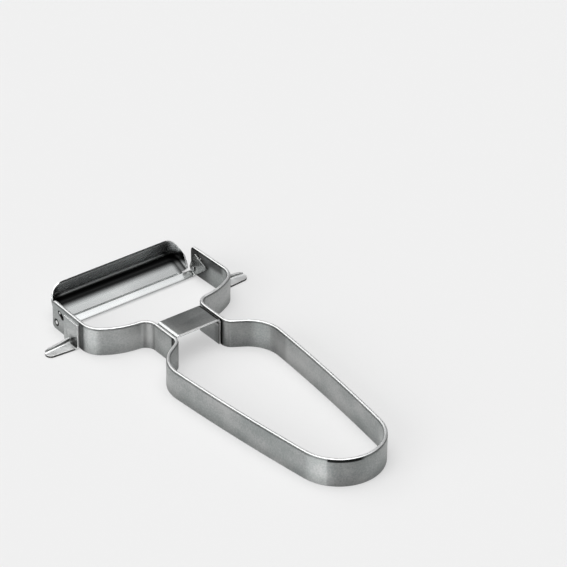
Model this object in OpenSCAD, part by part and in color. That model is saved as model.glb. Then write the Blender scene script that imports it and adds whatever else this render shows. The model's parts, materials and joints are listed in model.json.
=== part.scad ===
/* [Strip] */
// Height of the steel strip that the handle and the head are bent from
strip_h = 12; // [9:0.5:16]
// Thickness of the strip
strip_t = 1.5; // [1:0.1:2]

/* [Handle] */
// Radius of the round end of the handle, at the middle of the strip
end_bend_r = 17; // [13:0.5:22]
// Heading of the strip where the round end stops, in degrees
end_heading = 81.8; // [78:0.1:84]
// Radius of the slight outward bow of the handle's sides
side_bow_r = 860; // [750:10:1100]
// Heading of the strip at the widest place, in degrees
side_heading = 86.3; // [85:0.1:87.5]
// Radius of the shoulder between the side and the neck
shoulder_r = 14.2; // [11:0.2:17]
// Heading of the straight run from the shoulder to the neck, in degrees
shoulder_heading = 148.5; // [140:0.5:152]
// Length of that straight run
shoulder_run = 4.5; // [3:0.1:7]
// Radius of the bend from the shoulder into the neck
neck_in_r = 4.2; // [3:0.1:6]
// Length of the straight neck
neck_run = 11.5; // [10.5:0.5:18]

/* [Head] */
// Radius of the bend from the neck into the head
neck_out_r = 5; // [4:0.1:6.5]
// Heading of the strip where the head's rear wall starts, in degrees
head_heading = 5; // [2:0.5:10]
// Radius of the head's bowed rear wall
head_bow_r = 29.6; // [27:0.2:34]
// Heading of the strip where the rear wall stops, in degrees
corner_heading = 32.5; // [29:0.5:36]
// Radius of the corner from the rear wall into the arm
corner_r = 8.5; // [7:0.1:9.5]
// Length of the straight arm, from the corner to its tip
arm_run = 20; // [19.1:0.1:25.1]
// How far each arm leans in, in degrees
arm_lean = 1.6; // [1:0.1:2.2]
// Radius of the rounded corners of the arm's tip
tip_corner_r = 1.8; // [1:0.1:2.6]

/* [Neck bridge] */
// Thickness of the bridge's sheet
bridge_t = 1; // [0.7:0.1:1.3]
// Length of the bridge along the neck
bridge_len = 12.2; // [10:0.1:13]
// How far the bridge's front edge lies beyond the neck's straight run
bridge_lead = 0.7; // [0:0.1:1]
// Outer radius of the bridge's two folds
bridge_fold_r = 1.7; // [1.3:0.1:2.4]
// Height of the lower edge of the bridge's flanges
bridge_foot = 0.6; // [0.3:0.1:2]

/* [Blade] */
// Thickness of the blade's sheet
blade_t = 0.6; // [0.4:0.05:0.8]
// Tilt of the blade at rest, front up, in degrees
blade_pitch = 22; // [18:1:26]
// How far the blade swings up from rest, in degrees
blade_swing = 22; // [15:1:26]
// Distance from the pivot to the arm's tip
pivot_back = 3.1; // [2.8:0.1:4]
// Height of the pivot above the surface that the peeler lies on
pivot_h = 3.5; // [3.3:0.1:5]
// Distance from the pivot down to the top of the guide bar
bar_depth = 1.7; // [1.6:0.05:1.9]
// How far the guide bar reaches behind the pivot
bar_rear = 2.3; // [2:0.1:2.6]
// How far the guide bar reaches ahead of the pivot
bar_front = 0.8; // [0.6:0.1:1]
// Width of the bevel along the bar's rear edge
bar_bevel = 0.9; // [0.5:0.1:1.2]
// Drop of that bevel at the bar's rear edge
bar_bevel_drop = 0.2; // [0.1:0.05:0.3]
// Gap between the guide bar and the cutting edge, along the blade
slot_gap = 0.5; // [0.4:0.1:0.8]
// How far the cutting edge lies below the guide bar
slot_drop = 0.5; // [0.3:0.1:0.6]
// Width of the ground bevel behind the cutting edge
edge_bevel = 0.5; // [0.3:0.05:0.6]
// Flat left under that bevel, where the edge starts
edge_land = 0.1; // [0.05:0.01:0.15]
// Solid web left at each end of the slot
slot_web = 1.5; // [1:0.1:3]
// Distance from the pivot to the corner of the tray's floor and front wall
tray_reach = 10.75; // [9:0.25:13]
// Height of the tray's front wall above its floor
tray_h = 7.7; // [6:0.1:9]
// Outward lean of the tray's walls, in degrees
tray_flare = 12; // [8:1:14]
// Inner radius of the bend from the tray's floor to its walls
tray_bend_r = 3; // [2.4:0.1:3.2]
// Radius of the tray's corners seen from above
tray_corner_r = 4; // [3.6:0.1:5]
// How far the tray's rim reaches past the ears' inner faces
rim_side = 1; // [0.6:0.1:1.2]
// Radius of the rounded top corners of the tray's front wall
rim_corner_r = 8.2; // [7:0.1:10]
// Height of the rim above the tray's floor at the rear end of its end walls
rim_low_h = 1; // [0.6:0.1:1.5]
// Rise of the end walls' rim, in degrees
rim_rise = 31; // [26:1:36]

/* [Blade ears] */
// Gap between each ear and the arm beside it, at the pivot
ear_gap = 0.45; // [0.35:0.05:0.6]
// Gap between each end of the tray's floor and the ear
tray_side_gap = 0.75; // [0.7:0.05:1.2]
// Inner radius of the bend from the guide bar to the ear
ear_bend_r = 0.4; // [0.3:0.05:0.5]
// Height of the ear's top edge above the pivot
ear_top = 6.9; // [6.8:0.1:7.4]
// How far the ear's upper corner reaches behind the pivot
ear_back = 6.8; // [5.5:0.1:7.5]
// Radius of the ear round the pivot
ear_boss_r = 2.2; // [2:0.1:2.3]
// Radius of the ear's rounded corners
ear_corner_r = 0.8; // [0.5:0.1:1]

/* [Pins] */
// Radius of the pivot rivet
pivot_r = 1; // [0.8:0.05:1.1]
// Running clearance round the pivot rivet
pivot_clear = 0.05; // [0.02:0.01:0.1]
// Clearance round the rivet in the ear's hole
rivet_fit = 0.02; // [0.02:0.01:0.04]
// Radius of the rivet's inner head
rivet_head_r = 1.3; // [1.2:0.05:1.3]
// Thickness of the rivet's inner head
rivet_head_t = 0.5; // [0.3:0.05:0.55]
// Radius of the dished recess round the rivet's outer end
dish_r = 1.5; // [1.3:0.05:1.7]
// Depth of that recess
dish_d = 0.5; // [0.3:0.05:0.6]
// Radius of the stop pin
stop_r = 0.7; // [0.5:0.05:0.8]
// Distance from the pivot to the stop pin
stop_reach = 5.8; // [5.6:0.05:6]
// Direction of the stop pin from the pivot at rest, in degrees from the front
stop_dir = 113; // [108:1:118]
// Gap between the stop pin and the slot that limits it
stop_gap = 0.3; // [0.2:0.05:0.4]

/* [Eye removers] */
// Thickness of the eye remover's sheet
eye_t = 0.9; // [0.7:0.05:1.1]
// Distance from the corner to the rear edge of the plate
eye_start = 1.1; // [0.6:0.1:2.1]
// Length of the plate along the arm
eye_len = 9.4; // [8:0.1:9.6]
// Distance from the top of the strip to the top edge of the plate
eye_top_gap = 1.5; // [0.8:0.1:2.5]
// Height of the tongue's underside
eye_foot = 0; // [0:0.05:0.5]
// Inner radius of the bend from the plate to the tongue
eye_bend_r = 0.6; // [0.4:0.1:1]
// Length of the tongue outside the plate
tongue_len = 13.2; // [11:0.1:14.5]
// Width of the tongue over its rim, where it leaves the plate
tongue_root_w = 6.2; // [5.6:0.1:7]
// Radius of the tongue's round tip
tongue_tip_r = 2.3; // [2:0.1:2.6]
// How far the tip's centre lies ahead of the plate's rear edge
tongue_tip_shift = 2.8; // [2.6:0.1:3.2]
// Height of the tongue's raised front rim above its floor, at the plate
tongue_rim_h = 1.6; // [1.2:0.1:2.2]
// Height of that rim above the floor at the tip
tongue_tip_h = 0.7; // [0.3:0.1:1]
// Inner radius of the bend from the tongue's floor to its rim
tongue_bend_r = 0.8; // [0.6:0.1:1]

/* [Hidden] */
$fn = 64;
// Overrun of a cut past the face that it starts from
over = 1;
// Overlap of two solids that are one piece
lap = 0.2;
// Largest turn of one flat facet of a bend, in degrees
facet_turn = 3;
// Largest length of such a facet
facet_len = 6;

// A sheet is bent along legs. A leg is a straight run, then a bend's radius at the middle
// of the sheet and its turn. A place is x, y and heading
function after_run(at, run) = [at.x + run * cos(at.z), at.y + run * sin(at.z), at.z];
function after_bend(at, r, turn) =
    let (left = sign(turn) * r, h = at.z + turn)
    [at.x + left * (sin(h) - sin(at.z)), at.y + left * (cos(at.z) - cos(h)), h];
function after_leg(at, leg) = after_bend(after_run(at, leg[0]), leg[1], leg[2]);
function leg_starts(at, legs, i = 0) =
    i == len(legs) ? [at] : concat([at], leg_starts(after_leg(at, legs[i]), legs, i + 1));
function facets(r, turn) =
    max(1, ceil(abs(turn) / facet_turn), ceil(r * abs(turn) * PI / 180 / facet_len));

// Places along the middle of the sheet, and its outline at half its thickness each side
function leg_places(at, leg) =
    let (from = after_run(at, leg[0]), n = facets(leg[1], leg[2]))
    [for (i = [leg[0] > 0 ? 0 : 1 : n]) after_bend(from, leg[1], leg[2] * i / n)];
function sheet_places(at, legs) =
    let (starts = leg_starts(at, legs))
    concat([at], [for (i = [0 : len(legs) - 1]) each leg_places(starts[i], legs[i])]);
function beside(place, d) = [place.x - d * sin(place.z), place.y + d * cos(place.z)];
function reversed(list) = [for (i = [len(list) - 1 : -1 : 0]) list[i]];
function sheet_outline(at, legs, t) =
    let (p = sheet_places(at, legs))
    concat([for (q = p) beside(q, -t / 2)], [for (q = reversed(p)) beside(q, t / 2)]);

// Points of an arc, and of an outline whose corners are rounded by radii
function arc_points(c, r, from, to, n) =
    [for (i = [0 : n]) let (a = from + (to - from) * i / n) [c.x + r * cos(a), c.y + r * sin(a)]];
function round_corner(a, b, c, r, n) =
    let (u = (a - b) / norm(a - b), v = (c - b) / norm(c - b), half = acos(u * v) / 2,
        mid = b + (u + v) / norm(u + v) * r / sin(half),
        p = b + u * r / tan(half) - mid, q = b + v * r / tan(half) - mid,
        from = atan2(p.y, p.x), turn = (atan2(q.y, q.x) - from + 540) % 360 - 180)
    arc_points(mid, r, from, from + turn, n);
function rounded(points, radii, n = 6) =
    let (m = len(points))
    [for (i = [0 : m - 1]) each radii[i] == 0 ? [points[i]]
        : round_corner(points[(i + m - 1) % m], points[i], points[(i + 1) % m], radii[i], n)];

// The strip, from the middle of the handle's round end to the root of the right arm
strip_legs = [
    [0, end_bend_r, end_heading],
    [0, side_bow_r, side_heading - end_heading],
    [0, shoulder_r, shoulder_heading - side_heading],
    [shoulder_run, neck_in_r, 90 - shoulder_heading],
    [neck_run, neck_out_r, head_heading - 90],
    [0, head_bow_r, corner_heading - head_heading],
    [0, corner_r, 90 + arm_lean - corner_heading]
];
neck_leg = 4;
strip_at = leg_starts([0, 0, 0], strip_legs);
neck_x = strip_at[neck_leg].x;
neck_y = strip_at[neck_leg].y;
neck_half = neck_x - strip_t / 2;
arm_at = strip_at[len(strip_legs)];

// Pivot, on the arm's middle line
pivot_run = arm_run - pivot_back;
pivot_x = arm_at.x - pivot_run * sin(arm_lean);
pivot_y = arm_at.y + pivot_run * cos(arm_lean);
arm_inner_x = pivot_x - strip_t / 2;
arm_outer_x = pivot_x + strip_t / 2;

// Blade, in its own frame: x across, y forward along the floor, z up, pivot at 0
ear_outer = arm_inner_x - ear_gap;
ear_inner = ear_outer - blade_t;
tray_half = ear_inner - tray_side_gap - blade_t;
bar_top = -bar_depth;
bar_low = bar_top - blade_t;
floor_top = bar_top - slot_drop;
floor_low = floor_top - blade_t;
edge_y = bar_front + slot_gap;
tray_rear = rivet_head_r + ear_gap;
tray_tangent = tray_bend_r * tan((90 - tray_flare) / 2);
floor_half = tray_half - tray_tangent + lap;
slot_half = floor_half - slot_web;
corner_y = tray_reach - tray_corner_r;
corner_x = tray_half - tray_corner_r;
rim_top = floor_top + tray_h;
rim_half = ear_inner + rim_side;

// The part's middle along y, which its frame's origin lies under
part_front = pivot_y + (tray_reach - tray_tangent) * cos(blade_pitch)
    - (floor_top + tray_bend_r) * sin(blade_pitch) + tray_bend_r + blade_t;
part_mid = (part_front - strip_t / 2) / 2;

// Moves a child from the strip's own frame to the part's frame
module framed() {
    translate([0, -part_mid, 0]) children();
}

module on_side(side) {
    if (side < 0) mirror([1, 0, 0]) children();
    else children();
}

// Extrudes an outline in y and z across x, about its middle
module across(width) {
    rotate([90, 0, 90]) linear_extrude(width, center = true) children();
}

// Carries a child into the right arm's frame: x to its outside, y along it, z up
module at_arm() {
    translate([arm_at.x, arm_at.y, 0]) rotate([0, 0, arm_lean]) children();
}

module pivot_frame() {
    translate([0, pivot_y, pivot_h]) children();
}

// Whole outline of the strip, from the left arm's tip round to the right arm's
function strip_outline() =
    let (right = sheet_places([0, 0, 0], concat(strip_legs, [[arm_run, corner_r, 0]])),
        outer = [for (p = right) beside(p, -strip_t / 2)],
        inner = [for (p = right) beside(p, strip_t / 2)],
        last = len(right) - 1)
    concat([for (p = reversed(outer)) [-p.x, p.y]], [for (i = [1 : last]) outer[i]],
        reversed(inner), [for (i = [1 : last]) [-inner[i].x, inner[i].y]]);

// Cut that rounds a plate's corner at 0, whose plate lies towards -x and -y
module corner_cut(r) {
    n = 8;
    p = arc_points([-r, -r], r, 0, 90, n);
    polygon(concat([[over, over], 2 * p[0] - p[1]], [for (i = [1 : n - 1]) p[i]], [2 * p[n] - p[n - 1]]));
}

// Curved slot that the stop pin runs in: y forward, z up, pivot at 0
module stop_slot_outline() {
    half_w = stop_r + stop_gap;
    n = 8;
    far = stop_dir + blade_swing;
    function slot_end(dir) = stop_reach * [cos(dir), sin(dir)];
    polygon(concat(
        arc_points([0, 0], stop_reach + half_w, stop_dir, far, n),
        arc_points(slot_end(far), half_w, far + 180 / n, far + 180 - 180 / n, n - 2),
        arc_points([0, 0], stop_reach - half_w, far, stop_dir, n),
        arc_points(slot_end(stop_dir), half_w, stop_dir - 180 + 180 / n, stop_dir - 180 / n, n - 2)));
}

// The arm's round tip, its stop slot, and its pivot bore with a dished mouth
module arm_cuts() {
    bore_r = pivot_r + pivot_clear;
    dish_slope = (dish_r - bore_r) / dish_d;
    at_arm() translate([0, arm_run, 0]) {
        translate([0, 0, strip_h]) across(4 * strip_t) corner_cut(tip_corner_r);
        mirror([0, 0, 1]) across(4 * strip_t) corner_cut(tip_corner_r);
    }
    pivot_frame() {
        translate([pivot_x, 0, 0]) across(4 * strip_t) stop_slot_outline();
        translate([arm_inner_x - over, 0, 0]) rotate([0, 90, 0])
            cylinder(r = bore_r, h = strip_t + 2 * over);
        translate([arm_outer_x - dish_d - lap, 0, 0]) rotate([0, 90, 0])
            cylinder(r1 = bore_r - lap * dish_slope, r2 = dish_r + over * dish_slope,
                h = dish_d + lap + over);
    }
}

module handle_strap() {
    color("silver") framed() difference() {
        linear_extrude(strip_h) polygon(strip_outline());
        for (side = [-1, 1]) on_side(side) arm_cuts();
    }
}

// Inverted channel seen from behind, from the foot of its left flange round to the right
bridge_mid_r = bridge_fold_r - bridge_t / 2;
flange_run = strip_h - bridge_fold_r - bridge_foot;
bridge_legs = [
    [flange_run, bridge_mid_r, -90],
    [2 * (neck_half - bridge_fold_r), bridge_mid_r, -90],
    [flange_run, bridge_mid_r, 0]
];

module neck_bridge() {
    color("gainsboro") framed() translate([0, neck_y + neck_run + bridge_lead, 0])
        rotate([90, 0, 0]) linear_extrude(bridge_len)
            polygon(sheet_outline([bridge_t / 2 - neck_half, bridge_foot, 90], bridge_legs, bridge_t));
}

// Half section of the tray: x out from the middle of its round corner, y up from the floor
module tray_section() {
    legs = [
        [tray_corner_r - tray_tangent, tray_bend_r + blade_t / 2, 90 - tray_flare],
        [2 * tray_h, tray_bend_r, 0]
    ];
    polygon(sheet_outline([0, -blade_t / 2, 0], legs, blade_t));
}

// Front wall, two corners, two end walls and the floor, taller than the rim
module tray_blank() {
    translate([0, 0, floor_top]) {
        for (side = [-1, 1]) on_side(side) translate([corner_x, corner_y, 0]) {
            rotate_extrude(angle = 90) tray_section();
            rotate([90, 0, 0]) linear_extrude(corner_y - tray_rear) tray_section();
            mirror([1, 0, 0]) rotate([90, 0, 90]) linear_extrude(corner_x + lap) tray_section();
        }
        translate([-corner_x - lap, tray_rear, -blade_t])
            cube([2 * (corner_x + lap), corner_y + lap - tray_rear, blade_t]);
    }
}

// What the rim leaves in front view: a wide plate with rounded top corners
module rim_front_outline() {
    low = floor_low - over;
    polygon(rounded([[-rim_half, low], [rim_half, low], [rim_half, rim_top], [-rim_half, rim_top]],
        [0, 0, rim_corner_r, rim_corner_r], 16));
}

// What the rim leaves in side view: low at the rear, rising to the front wall
module rim_side_outline() {
    rear = tray_rear - over;
    front = tray_reach + tray_h + blade_t;
    low = floor_low - over;
    start = floor_top + rim_low_h;
    rise_y = tray_rear + (rim_top + over - start) / tan(rim_rise);
    polygon([[rear, low], [front + over, low], [front + over, rim_top + over],
        [rise_y, rim_top + over], [tray_rear, start], [rear, start]]);
}

module tray() {
    intersection() {
        tray_blank();
        rotate([90, 0, 0]) linear_extrude(4 * tray_reach, center = true) rim_front_outline();
        across(4 * tray_half) rim_side_outline();
    }
}

// Step down from the guide bar and the floor as far as the tray
module floor_strip() {
    across(2 * floor_half) polygon([
        [bar_front - lap, bar_top], [bar_front, bar_top], [edge_y, floor_top],
        [tray_rear + lap, floor_top], [tray_rear + lap, floor_low], [edge_y, floor_low],
        [bar_front, bar_low], [bar_front - lap, bar_low]]);
}

// Channel of the guide bar and the two ears, seen from behind
module ear_channel() {
    mid_r = ear_bend_r + blade_t / 2;
    wall = 2 * ear_top;
    legs = [[wall, mid_r, 90], [2 * (ear_inner - ear_bend_r), mid_r, 90], [wall, mid_r, 0]];
    polygon(sheet_outline([blade_t / 2 - ear_outer, bar_top + ear_bend_r + wall, -90], legs, blade_t));
}

// What the side view leaves of that channel: the bar, and an ear above it
module ear_outline() {
    step = bar_top + lap;
    polygon(rounded([[-bar_rear, bar_low - over], [bar_front, bar_low - over], [bar_front, step],
        [ear_boss_r, step], [ear_boss_r, ear_top], [-ear_back, ear_top], [-bar_rear, bar_top]],
        [0, 0, 0, ear_boss_r / 2, ear_corner_r, ear_corner_r, 0]));
}

module bar_and_ears() {
    intersection() {
        rotate([90, 0, 0]) linear_extrude(4 * ear_back, center = true) ear_channel();
        across(4 * ear_outer) ear_outline();
    }
}

// Slot with round ends, the ground edge in front of it and the bevel behind the bar
module bar_cuts() {
    end_r = slot_gap / 2;
    mid_y = bar_front + end_r;
    end_x = slot_half - end_r;
    slope = (blade_t - edge_land) / edge_bevel;
    edge_z = floor_low + edge_land;
    drop = bar_bevel_drop / bar_bevel;
    translate([0, 0, floor_low - over]) linear_extrude(blade_t + slot_drop + 2 * over)
        polygon(concat(arc_points([end_x, mid_y], end_r, -90, 90, 6),
            arc_points([-end_x, mid_y], end_r, 90, 270, 6)));
    across(2 * end_x) polygon([
        [mid_y, edge_z - slope * end_r], [edge_y + edge_bevel + lap, floor_top + slope * lap],
        [mid_y, bar_top + over]]);
    across(2 * (ear_inner - ear_bend_r - lap)) polygon([
        [-bar_rear - lap, bar_top - bar_bevel_drop - lap * drop],
        [bar_bevel - bar_rear + lap, bar_top + lap * drop], [-bar_rear - lap, bar_top + over]]);
}

module blade_frame() {
    framed() pivot_frame() rotate([blade_pitch, 0, 0]) children();
}

module blade() {
    color("lightgray") blade_frame() difference() {
        union() {
            bar_and_ears();
            floor_strip();
            tray();
        }
        bar_cuts();
        for (side = [-1, 1]) on_side(side) {
            translate([ear_inner - over, 0, 0]) rotate([0, 90, 0])
                cylinder(r = pivot_r + rivet_fit, h = blade_t + 2 * over);
            rotate([stop_dir - blade_pitch, 0, 0]) translate([ear_inner - over, stop_reach, 0])
                rotate([0, 90, 0]) cylinder(r = stop_r, h = blade_t + 2 * over);
        }
    }
}

module pivot_rivet(side) {
    color("darkgray") framed() pivot_frame() on_side(side) rotate([0, 90, 0]) {
        translate([0, 0, ear_inner - rivet_head_t]) cylinder(r = rivet_head_r, h = rivet_head_t);
        translate([0, 0, ear_inner - rivet_head_t])
            cylinder(r = pivot_r, h = arm_outer_x - ear_inner + rivet_head_t);
    }
}

module stop_pin(side) {
    color("darkgray") framed() pivot_frame() on_side(side) rotate([stop_dir, 0, 0])
        translate([ear_inner, stop_reach, 0]) rotate([0, 90, 0])
            cylinder(r = stop_r, h = arm_outer_x - ear_inner);
}

// Tongue seen from above: x out from the arm, y from the plate's rear edge forward
tip = [tongue_len - tongue_tip_r, tongue_tip_shift];
tongue_start = eye_t + eye_bend_r;
rear_turn = atan2(tip.y, tip.x) - asin(tongue_tip_r / norm(tip));
front_turn = asin(tongue_tip_r / norm([tip.x, tongue_root_w - tip.y]))
    - atan2(tongue_root_w - tip.y, tip.x);

// Plate on the arm: bent out at its foot behind, where the tongue starts, and plain ahead of it
module eye_plate() {
    mid_r = eye_bend_r + eye_t / 2;
    plate_top = strip_h - eye_top_gap;
    legs = [[plate_top - eye_foot - tongue_start, mid_r, 90], [2 * lap, mid_r, 0]];
    translate([0, tongue_root_w, 0]) rotate([90, 0, 0]) linear_extrude(tongue_root_w)
        polygon(sheet_outline([eye_t / 2, plate_top, -90], legs, eye_t));
    translate([0, tongue_root_w - lap, eye_foot])
        cube([eye_t, eye_len - tongue_root_w + lap, plate_top - eye_foot]);
}

// Section across the tongue: its flat, the bend and the raised rim, whose face touches the tip
module tongue_section() {
    flat = 2 * tongue_root_w;
    legs = [[flat, tongue_bend_r + eye_t / 2, 90], [2 * tongue_rim_h, tongue_bend_r, 0]];
    polygon(sheet_outline([tongue_tip_r - eye_t - tongue_bend_r - flat, eye_t / 2, 0], legs, eye_t));
}

module tongue_plan() {
    root_x = eye_t - lap;
    polygon(concat(
        [[root_x, tongue_root_w + root_x * tan(front_turn)], [root_x, root_x * tan(rear_turn)]],
        arc_points(tip, tongue_tip_r, rear_turn - 90, front_turn + 90, 20)));
}

// What the rim leaves in front view: x out from the arm, z up, falling to the tip
module tongue_side() {
    root_x = eye_t - lap;
    rim_fall = (tongue_rim_h - tongue_tip_h) / (tongue_len - root_x);
    polygon([[tongue_start - lap, -over], [tongue_len + over, -over],
        [tongue_len + over, eye_t + tongue_tip_h - over * rim_fall], [root_x, eye_t + tongue_rim_h],
        [root_x, tongue_start], [tongue_start - lap, eye_t / 2]]);
}

module tongue() {
    intersection() {
        translate([tip.x, tip.y, 0]) rotate([0, 0, front_turn])
            across(2 * (tongue_len + over)) tongue_section();
        translate([0, 0, -over]) linear_extrude(eye_t + tongue_rim_h + 2 * over) tongue_plan();
        rotate([90, 0, 0]) linear_extrude(4 * eye_len, center = true) tongue_side();
    }
}

module eye_remover(side) {
    color("silver") framed() on_side(side) at_arm() translate([strip_t / 2, eye_start, 0]) {
        eye_plate();
        translate([0, 0, eye_foot]) tongue();
    }
}

module pivot_rivet_left() { pivot_rivet(-1); }
module pivot_rivet_right() { pivot_rivet(1); }
module stop_pin_left() { stop_pin(-1); }
module stop_pin_right() { stop_pin(1); }
module eye_remover_left() { eye_remover(-1); }
module eye_remover_right() { eye_remover(1); }

handle_strap();
neck_bridge();
blade();
pivot_rivet_left();
pivot_rivet_right();
stop_pin_left();
stop_pin_right();
eye_remover_left();
eye_remover_right();
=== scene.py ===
import bpy
import bmesh
import json
import math
from mathutils import Matrix, Vector
from mathutils.bvhtree import BVHTree


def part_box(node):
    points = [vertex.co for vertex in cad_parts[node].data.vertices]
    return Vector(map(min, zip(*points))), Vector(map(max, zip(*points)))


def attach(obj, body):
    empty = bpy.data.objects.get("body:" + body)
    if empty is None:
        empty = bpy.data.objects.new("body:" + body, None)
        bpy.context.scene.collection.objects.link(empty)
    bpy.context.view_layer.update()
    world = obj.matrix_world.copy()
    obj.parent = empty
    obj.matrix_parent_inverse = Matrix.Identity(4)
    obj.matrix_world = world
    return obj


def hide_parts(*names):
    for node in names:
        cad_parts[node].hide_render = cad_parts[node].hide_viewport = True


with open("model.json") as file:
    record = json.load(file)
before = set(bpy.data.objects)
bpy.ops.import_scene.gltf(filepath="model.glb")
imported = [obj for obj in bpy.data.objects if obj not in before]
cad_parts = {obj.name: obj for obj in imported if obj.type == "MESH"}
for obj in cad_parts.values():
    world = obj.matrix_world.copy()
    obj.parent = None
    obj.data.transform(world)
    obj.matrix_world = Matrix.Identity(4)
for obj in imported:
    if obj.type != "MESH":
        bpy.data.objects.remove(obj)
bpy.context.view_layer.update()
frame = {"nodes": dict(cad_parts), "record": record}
nodes = frame["nodes"]
print("frame loaded:", len(nodes), "nodes")


# Camera, fitted to the strip's edges in the photograph
cameraView = {
    "azimuth": 38.234,       # degrees round from the handle's end
    "elevation": 32.558,
    "roll": 0.917,
    "distance": 1.3,
    "lens": 212.7,
    "sensor": 36,
    "nearest": 0.05,
    "farthest": 50,
    "target": (0.055796, 0.042596, 0.0),
}


def makeCamera(v):
    a, e, roll = (math.radians(v[k]) for k in ("azimuth", "elevation", "roll"))
    back = Vector((-math.sin(a) * math.cos(e), -math.cos(a) * math.cos(e), math.sin(e)))
    right = Vector((math.cos(a), -math.sin(a), 0))
    up = back.cross(right)
    x = right * math.cos(roll) + up * math.sin(roll)
    y = up * math.cos(roll) - right * math.sin(roll)
    data = bpy.data.cameras.new("photoCamera")
    data.lens = v["lens"]
    data.sensor_width = v["sensor"]
    data.clip_start = v["nearest"]
    data.clip_end = v["farthest"]
    cam = bpy.data.objects.new("photoCamera", data)
    turn = Matrix((x, y, back)).transposed().to_4x4()
    cam.matrix_world = Matrix.Translation(Vector(v["target"]) + back * v["distance"]) @ turn
    bpy.context.scene.collection.objects.link(cam)
    bpy.context.scene.camera = cam


makeCamera(cameraView)
print("camera placed")


# Small helpers for node trees
def addNode(tree, kind, place, inputs=None, **values):
    n = tree.nodes.new(kind)
    n.location = place
    for k, v in values.items():
        setattr(n, k, v)
    for k, v in (inputs or {}).items():
        if isinstance(v, bpy.types.NodeSocket):
            tree.links.new(v, n.inputs[k])
        else:
            n.inputs[k].default_value = v
    return n


def calculate(tree, place, operation, *values, clamp=False):
    n = addNode(tree, "ShaderNodeMath", place, dict(enumerate(values)), operation=operation, use_clamp=clamp)
    return n.outputs["Value"]


def calculateVector(tree, place, operation, *values):
    n = addNode(tree, "ShaderNodeVectorMath", place, dict(enumerate(values)), operation=operation)
    return n.outputs["Value" if operation == "DOT_PRODUCT" else "Vector"]


def smoothStep(tree, place, value, low, high, toMin=0.0, toMax=1.0):
    n = addNode(tree, "ShaderNodeMapRange", place, interpolation_type="SMOOTHSTEP", inputs={
        "Value": value, "From Min": low, "From Max": high, "To Min": toMin, "To Max": toMax})
    return n.outputs["Result"]


def grey(v):
    return (v, v, v, 1)


def sine(degrees):
    return math.sin(math.radians(degrees))


def cosine(degrees):
    return math.cos(math.radians(degrees))


# Studio: a pale floor under a soft overhead box, with two bright panels and a dark side
studio = {
    "floorSize": 8.0,
    "floorColour": 0.785,
    "floorRough": 0.9,
    "glow": 0.5,             # share of the floor's own light, which keeps the shadow faint
    "glowColour": 0.871,
    "lightScale": 4.2,       # the brightest part overhead, in the numbers below
    "level": 0.9,            # what all the light is multiplied by
    # sine of the height above the horizon, and the light there
    "sky": ((0.0, 0.863), (0.09, 0.863), (0.12, 0.12), (0.20, 0.10), (0.45, 0.13), (0.60, 0.20),
            (0.72, 0.24), (0.80, 0.42), (0.86, 1.0), (0.91, 2.3), (1.0, 4.2)),
    # degrees: compass direction from +Y, half the width, lower and upper edge
    "panels": {
        "leftWindow": {"compass": -100, "half": 30, "low": 8, "high": 38, "light": 4.0},
        "backLeftCard": {"compass": -17, "half": 30, "low": 28, "high": 55, "light": 1.8},
        "darkSide": {"compass": 180, "half": 52, "low": 8, "high": 40, "light": 0.07},
    },
    "sideSoft": 3,           # degrees that a panel's edges fade over, either way
    "lowSoft": 2,
    "highSoft": 4,
}


def panelMask(tree, s, panel, level, height, y):
    toward = (sine(panel["compass"]), cosine(panel["compass"]), 0)
    along = calculateVector(tree, (-1000, y), "DOT_PRODUCT", level, toward)
    wide = cosine(panel["half"] + s["sideSoft"])
    narrow = cosine(panel["half"] - s["sideSoft"])
    side = smoothStep(tree, (-800, y), along, wide, narrow)
    low = panel["low"]
    foot = smoothStep(tree, (-800, y - 120), height, sine(low - s["lowSoft"]), sine(low + s["lowSoft"]))
    high = panel["high"]
    head = smoothStep(tree, (-800, y - 240), height, sine(high - s["highSoft"]), sine(high + s["highSoft"]),
                      toMin=1.0, toMax=0.0)
    tall = calculate(tree, (-600, y), "MULTIPLY", foot, head)
    return calculate(tree, (-450, y), "MULTIPLY", side, tall)


def makeWorld(s):
    world = bpy.data.worlds.new("studioRoom")
    world.use_nodes = True
    bpy.context.scene.world = world
    t = world.node_tree
    t.nodes.clear()
    direction = addNode(t, "ShaderNodeTexCoord", (-1600, 0)).outputs["Generated"]
    height = addNode(t, "ShaderNodeSeparateXYZ", (-1400, 200), {"Vector": direction}).outputs["Z"]
    sky = addNode(t, "ShaderNodeValToRGB", (-1200, 200), {"Fac": height})
    ramp = sky.color_ramp
    while len(ramp.elements) < len(s["sky"]):
        ramp.elements.new(1.0)
    for stop, (place, light) in zip(ramp.elements, s["sky"]):
        stop.position = place
        stop.color = grey(light / s["lightScale"])
    colour = sky.outputs["Color"]
    flat = calculateVector(t, (-1400, -200), "MULTIPLY", direction, (1, 1, 0))
    level = calculateVector(t, (-1200, -200), "NORMALIZE", flat)
    for i, panel in enumerate(s["panels"].values()):
        y = -200 - 350 * i
        mask = panelMask(t, s, panel, level, height, y)
        own = grey(panel["light"] / s["lightScale"])
        layers = {"Factor": mask, "A": colour, "B": own}
        colour = addNode(t, "ShaderNodeMix", (-300, y), layers, data_type="RGBA").outputs["Result"]
    strength = s["lightScale"] * s["level"]
    room = addNode(t, "ShaderNodeBackground", (0, 0), {"Color": colour, "Strength": strength})
    out = addNode(t, "ShaderNodeOutputWorld", (200, 0))
    t.links.new(room.outputs["Background"], out.inputs["Surface"])


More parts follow.
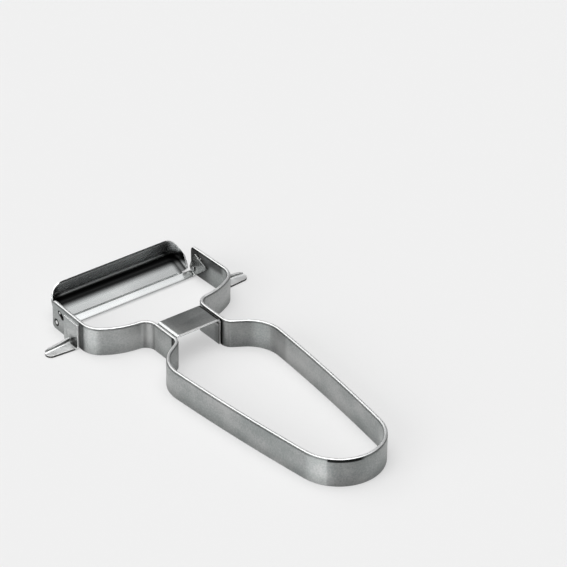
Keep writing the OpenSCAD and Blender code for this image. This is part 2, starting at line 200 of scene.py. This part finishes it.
# Camera, gloss and transmission see a share of the floor's own light, so its shadow stays but is faint
def makePaleFinish(s):
    m = bpy.data.materials.new("paleFloor")
    m.use_nodes = True
    t = m.node_tree
    b = t.nodes["Principled BSDF"]
    b.inputs["Base Color"].default_value = grey(s["floorColour"])
    b.inputs["Roughness"].default_value = s["floorRough"]
    b.inputs["Specular IOR Level"].default_value = 0.0
    rays = addNode(t, "ShaderNodeLightPath", (-400, 300)).outputs
    direct = calculate(t, (-200, 300), "ADD", rays["Is Camera Ray"], rays["Is Glossy Ray"])
    seen = calculate(t, (0, 300), "ADD", direct, rays["Is Transmission Ray"])
    share = calculate(t, (150, 300), "MULTIPLY", seen, s["glow"], clamp=True)
    glow = addNode(t, "ShaderNodeEmission", (150, 120), {"Color": grey(s["glowColour"]), "Strength": 1.0})
    blend = addNode(t, "ShaderNodeMixShader", (450, 200), {
        0: share, 1: b.outputs["BSDF"], 2: glow.outputs["Emission"]})
    t.links.new(blend.outputs["Shader"], t.nodes["Material Output"].inputs["Surface"])
    return m


def makeFloor(s):
    mesh = bpy.data.meshes.new("floor")
    h = s["floorSize"] / 2
    mesh.from_pydata([(-h, -h, 0), (h, -h, 0), (h, h, 0), (-h, h, 0)], [], [(0, 1, 2, 3)])
    mesh.materials.append(makePaleFinish(s))
    floor = bpy.data.objects.new("floor", mesh)
    bpy.context.scene.collection.objects.link(floor)


makeWorld(studio)
makeFloor(studio)
bpy.context.scene.view_settings.view_transform = "Standard"
print("studio ready")


# Effects that the steels share
def openGroup(name, inputs, outputs):
    g = bpy.data.node_groups.new(name, "ShaderNodeTree")
    kinds = {"v": "NodeSocketVector", "f": "NodeSocketFloat"}
    for label, kind, value in inputs:
        socket = g.interface.new_socket(label, in_out="INPUT", socket_type=kinds[kind])
        socket.default_value = value
    for label, kind in outputs:
        g.interface.new_socket(label, in_out="OUTPUT", socket_type=kinds[kind])
    source = addNode(g, "NodeGroupInput", (-1200, 0)).outputs
    target = addNode(g, "NodeGroupOutput", (500, 0)).inputs
    return g, source, target


grain = {
    "dots": 1500.0,          # speckles per metre
    "clouds": 70.0,          # patches of tint per metre
    "bump": 0.00002,         # height of the rolling lines, in metres
    "lines": (0.3, 0.7),     # the lines' noise at the least and the most roughness
    "tint": (0.55, 1.15),    # speckle and clouds together at the dark and the light tint
}


# Rolling lines along a stretch, fine speckle over them, and slow clouds of tint
def makeGrain(s):
    g, a, out = openGroup(
        "rolledGrain",
        (("Stretch", "v", (60, 60, 2600)), ("Depth", "f", 0.2), ("Speckle", "f", 0.3),
         ("Rough Low", "f", 0.2), ("Rough High", "f", 0.35)),
        (("Normal", "v"), ("Roughness", "f"), ("Tint", "f")))
    coord = addNode(g, "ShaderNodeTexCoord", (-1200, 300)).outputs["Object"]
    scaled = calculateVector(g, (-950, 300), "MULTIPLY", coord, a["Stretch"])
    lines = addNode(g, "ShaderNodeTexNoise", (-750, 300), {
        "Vector": scaled, "Scale": 1.0, "Detail": 3.0, "Roughness": 0.6}).outputs["Fac"]
    dots = addNode(g, "ShaderNodeTexNoise", (-750, 50), {
        "Vector": coord, "Scale": s["dots"], "Detail": 2.0}).outputs["Fac"]
    clouds = addNode(g, "ShaderNodeTexNoise", (-750, -200), {
        "Vector": coord, "Scale": s["clouds"], "Detail": 2.0}).outputs["Fac"]
    height = addNode(g, "ShaderNodeMix", (-500, 200), {"Factor": a["Speckle"], "A": lines, "B": dots})
    bump = addNode(g, "ShaderNodeBump", (-250, 250), {
        "Strength": a["Depth"], "Distance": s["bump"], "Height": height.outputs["Result"]})
    rough = addNode(g, "ShaderNodeMapRange", (-250, 0), {
        "Value": lines, "From Min": s["lines"][0], "From Max": s["lines"][1],
        "To Min": a["Rough Low"], "To Max": a["Rough High"]})
    fleck = calculate(g, (-500, -100), "MULTIPLY", dots, a["Speckle"])
    both = calculate(g, (-350, -200), "ADD", fleck, clouds)
    tint = smoothStep(g, (-150, -200), both, *s["tint"])
    g.links.new(bump.outputs["Normal"], out["Normal"])
    g.links.new(rough.outputs["Result"], out["Roughness"])
    g.links.new(tint, out["Tint"])
    return g


# A soft band across a piece, used to place painted light and shade: 1 between two places along an axis and 0
# outside them, in metres
def makeBand():
    g, a, out = openGroup(
        "placeBand",
        (("Axis", "v", (0, 0, 1)), ("Both Sides", "f", 0.0), ("Low", "f", 0.0), ("High", "f", 1.0),
         ("Soft Low", "f", 0.001), ("Soft High", "f", 0.001)),
        (("Mask", "f"),))
    coord = addNode(g, "ShaderNodeTexCoord", (-1200, 300)).outputs["Object"]
    part = addNode(g, "ShaderNodeSeparateXYZ", (-1000, 300), {"Vector": coord}).outputs
    width = calculate(g, (-850, 450), "ABSOLUTE", part["X"])
    x = addNode(g, "ShaderNodeMix", (-700, 400), {"Factor": a["Both Sides"], "A": part["X"], "B": width})
    place = addNode(g, "ShaderNodeCombineXYZ", (-550, 300), {
        "X": x.outputs["Result"], "Y": part["Y"], "Z": part["Z"]})
    along = calculateVector(g, (-400, 300), "DOT_PRODUCT", place.outputs["Vector"], a["Axis"])
    lowEnd = calculate(g, (-400, 50), "ADD", a["Low"], a["Soft Low"])
    highStart = calculate(g, (-400, -150), "SUBTRACT", a["High"], a["Soft High"])
    rise = smoothStep(g, (-150, 200), along, a["Low"], lowEnd)
    fall = smoothStep(g, (-150, -100), along, highStart, a["High"], toMin=1.0, toMax=0.0)
    g.links.new(calculate(g, (100, 50), "MULTIPLY", rise, fall), out["Mask"])
    return g


rolledGrain = makeGrain(grain)
placeBand = makeBand()

across = (1, 0, 0)
lengthwise = (0, 1, 0)
upright = (0, 0, 1)
sides = ("_left", "_right")
hard = 0.0001                # the least softness of a band's edge

# The blade lies pitched in its arms: along its floor and square to it, from the pivot; these axes place the
# tray's painted shade
bladeLie = {
    "pitch": 22,             # degrees
    "floorDrop": 0.0022,     # from the pivot down to the tray's floor
    "sideStart": 0.0186,     # from where the bands at the tray's ends are measured
}
pivot = Vector(frame["record"]["behaviour"]["joints"][0]["pos_m"])
alongFloor = Vector((0, cosine(bladeLie["pitch"]), sine(bladeLie["pitch"])))
offFloor = Vector((0, -sine(bladeLie["pitch"]), cosine(bladeLie["pitch"])))
floorAt = offFloor.dot(pivot) - bladeLie["floorDrop"]
slope = alongFloor + offFloor            # grows along the floor, round the bend and up the front wall
slopeAt = slope.dot(pivot) - bladeLie["floorDrop"]
sideSlope = Vector(across) + offFloor    # grows towards a side and up its wall
sideAt = floorAt + bladeLie["sideStart"]


def band(axis, low, high, softLow=hard, softHigh=hard, mirrored=0):
    return {"Axis": axis, "Both Sides": mirrored, "Low": low, "High": high,
            "Soft Low": softLow, "Soft High": softHigh}


def bothSides(low, high, softLow=hard, softHigh=hard):
    return band(across, low, high, softLow, softHigh, mirrored=1)


def upTray(low, high, softLow=hard, softHigh=hard):
    return band(slope, slopeAt + low, slopeAt + high, softLow, softHigh)


# Painted light and shade on each steel: each entry is a colour factor and the bands that meet where it lies;
# under 1 it paints shade, over 1 it paints light
steels = {
    "stripSteel": {
        "dark": (0.38, 0.405, 0.40), "light": (0.60, 0.605, 0.60), "rough": (0.42, 0.52),
        "aniso": 0.92, "turn": 0.25, "depth": 0.8, "speckle": 0.7, "stretch": (60, 60, 2600),
        "paintedShading": (
            # painted shade, darker towards the foot, and a painted dark line along the top
            (0.68, band(upright, -0.0010, 0.0065, softHigh=0.0065)),
            (0.55, band(upright, 0.0109, 0.0125, 0.0004)),
            # painted shade on the left of the handle's round end, and a painted black line on it
            (0.74, band(across, -0.0142, 0.0020, 0.0007, 0.0100),
             band(lengthwise, -0.0800, -0.0718, softHigh=0.0004)),
            (0.08, band(upright, 0.0104, 0.0125, 0.0005),
             band(lengthwise, -0.0800, -0.0720, softHigh=0.0005),
             band(across, -0.0145, -0.0010, 0.0008, 0.0030)),
            # painted shade on the arms' inner faces, towards the tips
            (0.55, bothSides(0.0300, 0.0326, softHigh=0.0002), band(lengthwise, 0.0560, 0.0800, 0.0060)),
            # painted shade on the neck, where the bridge's flanges end
            (0.04, bothSides(0.0095, 0.0125, softHigh=0.0006),
             band(lengthwise, 0.0210, 0.0236, 0.0009, 0.0004)),
            (0.52, bothSides(0.0100, 0.0122, softHigh=0.0006), band(lengthwise, 0.0178, 0.0215, 0.0012)),
            # painted shade on the arms' inner faces again, and a patch of painted dark reflection under
            # their top edge
            (0.42, bothSides(0.0300, 0.0329, softHigh=0.0003), band(lengthwise, 0.0600, 0.0800, 0.0080)),
            (0.34, bothSides(0.0300, 0.0329, softHigh=0.0003),
             band(lengthwise, 0.0500, 0.0620, 0.0020, 0.0050),
             band(upright, 0.0072, 0.0119, 0.0022, 0.0002)),
            # painted shade on the neck before the head, on the arms beside the eye removers, and on the
            # right shoulder
            (0.62, bothSides(0.0110, 0.0150, softHigh=0.0010),
             band(lengthwise, 0.0335, 0.0400, 0.0010, 0.0010)),
            (0.25, bothSides(0.0325, 0.0360), band(lengthwise, 0.0486, 0.0525, 0.0014)),
            (0.74, band(across, 0.0110, 0.0250, 0.0010),
             band(lengthwise, -0.0030, 0.0208, 0.0030, 0.0012)),
        ),
    },
    "stripEdge": {
        "dark": (0.88, 0.89, 0.89), "light": (0.96, 0.96, 0.96), "rough": (0.42, 0.50),
        "aniso": 0.0, "turn": 0.0, "depth": 0.05, "speckle": 0.4, "stretch": (200, 200, 200),
        "paintedShading": (
            # a painted black line at the handle's round end
            (0.05, band(upright, 0.0100, 0.01185, softHigh=0.0002),
             band(lengthwise, -0.0800, -0.0725, softHigh=0.0006),
             band(across, -0.0150, -0.0010, 0.0010, 0.0030)),
        ),
    },
    "bridgeSteel": {
        "dark": (0.38, 0.395, 0.395), "light": (0.62, 0.63, 0.62), "rough": (0.32, 0.42),
        "aniso": 0.0, "turn": 0.0, "depth": 0.6, "speckle": 0.5, "stretch": (60, 1800, 1800),
        "paintedShading": (
            # painted shade in the gap along the strip on both sides, wider on the right
            (0.03, bothSides(0.0098, 0.0120, 0.0005), band(upright, 0.0090, 0.0140, 0.0010)),
            (0.02, band(across, 0.0086, 0.0120, 0.0004), band(upright, 0.0090, 0.0140, 0.0010)),
            # a painted highlight on the left bend, and painted shade in the middle of the top
            (1.55, band(across, -0.0125, -0.0086, softHigh=0.0005), band(upright, 0.0098, 0.0140, 0.0008)),
            (0.80, band(across, -0.0080, 0.0050, 0.0020, 0.0060)),
            # painted shade on the flanges, and on their ends towards the handle
            (0.62, band(upright, -0.0010, 0.0100, softHigh=0.0020)),
            (0.60, band(upright, -0.0010, 0.0100, softHigh=0.0020),
             band(lengthwise, 0.0200, 0.0265, softHigh=0.0030)),
        ),
    },
    "bladeSteel": {
        "dark": (0.68, 0.70, 0.70), "light": (0.77, 0.78, 0.775), "rough": (0.10, 0.18),
        "aniso": 0.4, "turn": 0.0, "depth": 0.25, "speckle": 0.3, "stretch": (60, 1500, 1500),
        # painted shade on the tray's outside, growing round the bend and up the front wall
        "paintedShading": ((0.55, upTray(0.0040, 0.0400, 0.0120)),),
    },
    "traySteel": {
        "dark": (0.63, 0.65, 0.65), "light": (0.79, 0.80, 0.795), "rough": (0.22, 0.30),
        "aniso": 0.3, "turn": 0.0, "depth": 0.10, "speckle": 0.3, "stretch": (60, 1500, 1500),
        "paintedShading": (
            # painted shade on the floor, a painted black band before the bend, painted shade on the front
            # wall, and at the floor's two ends
            (0.70, upTray(0.0010, 0.0142, 0.0003, 0.0012)),
            (0.03, upTray(0.0046, 0.0140, 0.0033, 0.0028)),
            (0.62, upTray(0.0140, 0.0300, 0.0045)),
            (0.12, band(sideSlope, sideAt + 0.0060, sideAt + 0.0140, 0.0026, 0.0032, mirrored=1),
             band(offFloor, floorAt - 0.0010, floorAt + 0.0036, softHigh=0.0018)),
        ),
    },
    "pinSteel": {
        "dark": (0.70, 0.71, 0.71), "light": (0.86, 0.86, 0.86), "rough": (0.2, 0.3),
        "aniso": 0.0, "turn": 0.0, "depth": 0.1, "speckle": 0.5, "stretch": (600, 600, 600),
    },
    "eyeSteel": {
        "dark": (0.34, 0.36, 0.355), "light": (0.56, 0.57, 0.565), "rough": (0.28, 0.40),
        "aniso": 0.2, "turn": 0.0, "depth": 0.5, "speckle": 0.7, "stretch": (900, 60, 900),
        "paintedShading": (
            # painted shade at the plate's foot, on the handle's side
            (0.08, band(upright, -0.0010, 0.0055, softHigh=0.0025),
             bothSides(0.0300, 0.0400, softHigh=0.0030),
             band(lengthwise, 0.0500, 0.0590, softHigh=0.0040)),
        ),
    },
    "cutEdge": {
        "dark": (0.88, 0.89, 0.89), "light": (0.96, 0.96, 0.96), "rough": (0.42, 0.50),
        "aniso": 0.0, "turn": 0.0, "depth": 0.05, "speckle": 0.4, "stretch": (200, 200, 200),
    },
    "satinTongue": {
        "dark": (0.90, 0.91, 0.91), "light": (1.0, 1.0, 1.0), "rough": (0.40, 0.50),
        "aniso": 0.0, "turn": 0.0, "depth": 0.15, "speckle": 0.5, "stretch": (200, 200, 200),
    },
    # Painted dark reflection: a near-black finish for the ears and the pins' inner heads
    "earPaintedReflection": {
        "dark": (0.11, 0.115, 0.115), "light": (0.34, 0.345, 0.34), "rough": (0.18, 0.30),
        "aniso": 0.0, "turn": 0.0, "depth": 0.6, "speckle": 0.8, "stretch": (900, 900, 900),
    },
    # Painted shade: a near-black finish for the pivot's seat, the stop's slot, the flanges' ends, the lines
    # under edges and round the pins' ends
    "paintedShadeSteel": {
        "dark": (0.03, 0.03, 0.03), "light": (0.10, 0.10, 0.095), "rough": (0.35, 0.55),
        "aniso": 0.0, "turn": 0.0, "depth": 0.2, "speckle": 0.8, "stretch": (900, 900, 900),
    },
}


def placeGroup(tree, group, place, values):
    n = addNode(tree, "ShaderNodeGroup", place, node_tree=group)
    for k, v in values.items():
        n.inputs[k].default_value = v
    return n.outputs


# Multiplies one entry of painted light and shade into the colour where all its bands meet
def addPaintedShading(tree, colour, factor, bands, x):
    mask = placeGroup(tree, placeBand, (x, 500), bands[0])["Mask"]
    for j, other in enumerate(bands[1:]):
        second = placeGroup(tree, placeBand, (x, 750 + 250 * j), other)["Mask"]
        mask = calculate(tree, (x + 150, 500 + 200 * j), "MULTIPLY", mask, second)
    shaded = addNode(tree, "ShaderNodeMix", (x + 150, 200), {"Factor": mask, "A": colour, "B": grey(factor)},
                     data_type="RGBA", blend_type="MULTIPLY")
    return shaded.outputs["Result"]


def makeSteel(name, s):
    m = bpy.data.materials.new(name)
    m.use_nodes = True
    t = m.node_tree
    b = t.nodes["Principled BSDF"]
    b.inputs["Metallic"].default_value = 1.0
    b.inputs["Anisotropic"].default_value = s["aniso"]
    b.inputs["Anisotropic Rotation"].default_value = s["turn"]
    roughLow, roughHigh = s["rough"]
    g = placeGroup(t, rolledGrain, (-1400, 0), {
        "Stretch": s["stretch"], "Depth": s["depth"], "Speckle": s["speckle"],
        "Rough Low": roughLow, "Rough High": roughHigh})
    tints = {"Factor": g["Tint"], "A": (*s["dark"], 1), "B": (*s["light"], 1)}
    colour = addNode(t, "ShaderNodeMix", (-1100, 200), tints, data_type="RGBA").outputs["Result"]
    for i, (factor, *bands) in enumerate(s.get("paintedShading", ())):
        colour = addPaintedShading(t, colour, factor, bands, -900 + 300 * i)
    t.links.new(colour, b.inputs["Base Color"])
    t.links.new(g["Roughness"], b.inputs["Roughness"])
    t.links.new(g["Normal"], b.inputs["Normal"])
    return m


finish = {name: makeSteel(name, s) for name, s in steels.items()}
print("finishes ready:", ", ".join(finish))


# What every piece shares: a clean copy of its solid, rounded edges and smooth bends
meshRules = {
    "weld": 2e-6,            # points closer than this are one
    "flat": 0.004,           # radians: faces that turn less are joined
    "roundTurn": 28,         # degrees: edges that turn more are rounded
    "sharpTurn": 40,         # degrees: edges that turn more stay sharp in the shading
    "start": 2e-6,           # the wall test starts this far inside
    "wall": 1.25,            # a far side within this many thicknesses makes a wall
}


def cleanCopy(node):
    bm = bmesh.new()
    bm.from_mesh(nodes[node].data)
    bmesh.ops.remove_doubles(bm, verts=bm.verts, dist=meshRules["weld"])
    bmesh.ops.dissolve_limit(bm, angle_limit=meshRules["flat"], verts=bm.verts, edges=bm.edges)
    return bm


def turnsMore(edge, degrees):
    return edge.is_manifold and edge.calc_face_angle(0) > math.radians(degrees)


def sharpEdges(bm):
    return [e for e in bm.edges if turnsMore(e, meshRules["roundTurn"])]


def roundEdges(bm, edges, width, segments):
    bmesh.ops.bevel(bm, geom=edges, offset=width, segments=segments, profile=0.5,
                    affect="EDGES", clamp_overlap=False)


# A face whose far side is further off than the sheet is thick is a cut edge, and gets the second finish
def markCutEdges(bm, tree, thick):
    for f in bm.faces:
        inward = -f.normal
        hit = tree.ray_cast(f.calc_center_median() + inward * meshRules["start"], inward)
        inWall = hit[3] is not None and hit[3] < meshRules["wall"] * thick
        f.material_index = 0 if inWall else 1


# A rounded edge in a tight curve can stand out a little: it goes back to the sheet's own box
def keepInBox(bm, node):
    low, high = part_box(node)
    for v in bm.verts:
        v.co = [min(max(c, a), b) for c, a, b in zip(v.co, low, high)]


def finishPiece(bm, name, body, node, materials):
    for f in bm.faces:
        f.smooth = True
    for e in bm.edges:
        e.smooth = not turnsMore(e, meshRules["sharpTurn"])
    mesh = bpy.data.meshes.new(name)
    bm.to_mesh(mesh)
    bm.free()
    piece = bpy.data.objects.new(name, mesh)
    bpy.context.scene.collection.objects.link(piece)
    weigh = piece.modifiers.new("evenNormals", "WEIGHTED_NORMAL")
    weigh.keep_sharp = True
    for m in materials:
        mesh.materials.append(finish[m])
    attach(piece, body)
    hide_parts(node)


def roundAll(bm, node, s):
    roundEdges(bm, sharpEdges(bm), s["edge"], s["segments"])


# Each place is a test of a face's centre and normal, its finish, and whether cut edges take it too
def dressSheet(s, places, side="", rounding=roundAll):
    node = s["node"] + side
    bm = cleanCopy(node)
    tree = BVHTree.FromBMesh(bm)
    rounding(bm, node, s)
    keepInBox(bm, node)
    bm.normal_update()
    markCutEdges(bm, tree, s["thick"])
    for f in bm.faces:
        for i, (isThere, steel, edgesToo) in enumerate(places):
            if (f.material_index == 0 or edgesToo) and isThere(f.calc_center_median(), f.normal):
                f.material_index = 2 + i
    steelNames = s["steel"] + tuple(steel for isThere, steel, edgesToo in places)
    finishPiece(bm, s["name"] + side, s["body"], node, steelNames)
    print("dressed:", s["name"] + side)


# Handle strip: one bent strip with rolled edges, and painted shade in the pivot's seat and the stop's slot
strap = {
    "node": "handle_strap", "name": "handleStrap", "body": "handle", "slot": "strip_steel",
    "steel": ("stripSteel", "stripEdge"),
    "thick": 0.0015,
    "edge": 0.0007,          # rounding of the rolled edges
    "segments": 6,
    "holeEdge": 0.00008,     # rounding of the bores and slots
    "holeSegments": 2,
    "rimZone": 0.0019,       # a tip's corner is rolled this far in
    "level": 1e-5,           # an edge this close to the top or the foot lies in it
    "tipLevel": 0.0002,
    "armsFrom": 0.030,       # from the middle plane
    "flatTurn": 0.985,       # a face that looks further sideways than this is the flat arm
    "seatRadius": 0.0024,
    "slotInner": 0.0045,     # from the pivot
    "slotOuter": 0.0069,
    "slotTop": 0.0108,
}


def roundStrap(bm, node, s):
    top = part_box(node)[1].z
    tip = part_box(node)[1].y
    rim = []
    holes = []
    for e in sharpEdges(bm):
        middle = (e.verts[0].co + e.verts[1].co) / 2
        heights = [v.co.z for v in e.verts]
        level = min(heights) > top - s["level"] or max(heights) < s["level"]
        corner = middle.z < s["rimZone"] or middle.z > top - s["rimZone"]
        atTip = middle.y > tip - s["tipLevel"] or (corner and middle.y > tip - s["rimZone"])
        (rim if level or atTip else holes).append(e)
    roundEdges(bm, holes, s["holeEdge"], s["holeSegments"])
    roundEdges(bm, [e for e in rim if e.is_valid], s["edge"], s["segments"])


def inSeat(c, n):
    r = math.hypot(c.y - pivot.y, c.z - pivot.z)
    inSlot = strap["slotInner"] < r < strap["slotOuter"] and c.z < strap["slotTop"]
    onArm = abs(c.x) > strap["armsFrom"] and abs(n.x) < strap["flatTurn"]
    return onArm and (r < strap["seatRadius"] or inSlot)


dressSheet(strap, ((inSeat, "paintedShadeSteel", True),), rounding=roundStrap)


# Bridge: a pressed sheet over the neck, with a bright cut edge, a painted dark line under it and painted
# shade on the flanges' ends
bridge = {
    "node": "neck_bridge", "name": "neckBridge", "body": "handle", "slot": "bridge_steel",
    "steel": ("bridgeSteel", "cutEdge"),
    "thick": 0.001, "edge": 0.0003, "segments": 4,
    "flangeTop": 0.0095,     # heights above the floor
    "underTop": 0.0098,
    "topFoot": 0.0105,
    "endTurn": 0.5,          # how far a face looks along the handle
    "edgeTurn": 0.25,
    "underTurn": 0.2,
    "downTurn": -0.15,       # how far it looks down
}


def onFlangeEnd(c, n):
    return abs(n.y) > bridge["endTurn"] and c.z < bridge["flangeTop"]


def onTopEdge(c, n):
    return abs(n.y) > bridge["edgeTurn"] and c.z > bridge["topFoot"]


def underTopEdge(c, n):
    return abs(n.y) > bridge["underTurn"] and n.z < bridge["downTurn"] and c.z > bridge["underTop"]


dressSheet(bridge, ((onFlangeEnd, "paintedShadeSteel", True), (onTopEdge, "cutEdge", False),
                    (underTopEdge, "paintedShadeSteel", True)))


# Blade: guide bar, cutting edge, tray and ears in one thin sheet
blade = {
    "node": "blade", "name": "bladeSheet", "body": "swivel_blade", "slot": "blade_steel",
    "steel": ("bladeSteel", "cutEdge"),
    "thick": 0.0006, "edge": 0.00008, "segments": 2,
    "earFrom": 0.0306,       # from the middle plane, and a little less for the ear's cut edge
    "earEdgeFrom": 0.0302,
    "earTurn": 0.9,          # a face that looks further sideways than this is the flat ear
    "trayFrom": 0.0009,      # past the pivot, along the floor
    "trayTurn": 0.05,        # a tray's face looks at least this far up from the floor
    "floorSlack": 0.0001,
}


def onEar(c, n):
    return abs(c.x) > (blade["earFrom"] if abs(n.x) > blade["earTurn"] else blade["earEdgeFrom"])


def inTray(c, n):
    pastPivot = alongFloor.dot(c - pivot) > blade["trayFrom"]
    overFloor = offFloor.dot(c) > floorAt - blade["floorSlack"]
    return pastPivot and overFloor and offFloor.dot(n) > blade["trayTurn"]


# The ears take the painted dark reflection, and the tray's finish carries painted shade
dressSheet(blade, ((onEar, "earPaintedReflection", True), (inTray, "traySteel", False)))


# Eye removers: a plate on each arm, with a satin tongue and a painted dark line under it
eyeRemover = {
    "node": "eye_remover", "name": "eyeRemover", "body": "handle", "slot": "eye_steel",
    "steel": ("eyeSteel", "cutEdge"),
    "thick": 0.0009, "edge": 0.00016, "segments": 3,
    "tongueFrom": 0.0355,    # from the middle plane
    "tongueTop": 0.004,
    "tongueTurn": 0.55,      # how far a face looks up
    "underFrom": 0.0360,
    "underTop": 0.0012,
    "underTurn": 0.3,
}


def onTongue(c, n):
    beside = abs(c.x) > eyeRemover["tongueFrom"] and c.z < eyeRemover["tongueTop"]
    return beside and n.z > eyeRemover["tongueTurn"]


def underTongue(c, n):
    beside = abs(c.x) > eyeRemover["underFrom"] and c.z < eyeRemover["underTop"]
    return beside and n.z < eyeRemover["underTurn"]


for side in sides:
    dressSheet(eyeRemover, ((onTongue, "satinTongue", False), (underTongue, "paintedShadeSteel", True)), side=side)


# Pins: bright ends with painted shade round them, and inner heads with the ears' painted dark reflection
pivotRivet = {"node": "pivot_rivet", "name": "pivotRivet", "edge": 0.00042, "segments": 4}
stopPin = {"node": "stop_pin", "name": "stopPin", "edge": 0.0002, "segments": 3}
pinPlaces = {
    "headUpTo": 0.0312,      # from the middle plane
    "shankTurn": 0.02,       # between these a face is the rounding of an end
    "endTurn": 0.98,
}


def dressPin(s, side):
    node = s["node"] + side
    bm = cleanCopy(node)
    roundAll(bm, node, s)
    bm.normal_update()
    for f in bm.faces:
        onHead = abs(f.calc_center_median().x) < pinPlaces["headUpTo"]
        onRounding = pinPlaces["shankTurn"] < abs(f.normal.x) < pinPlaces["endTurn"]
        f.material_index = 2 if onHead else int(onRounding)
    name = s["name"] + side
    finishPiece(bm, name, "swivel_blade", node, ("pinSteel", "paintedShadeSteel", "earPaintedReflection"))
    print("dressed:", name)


for pin in (pivotRivet, stopPin):
    for side in sides:
        dressPin(pin, side)
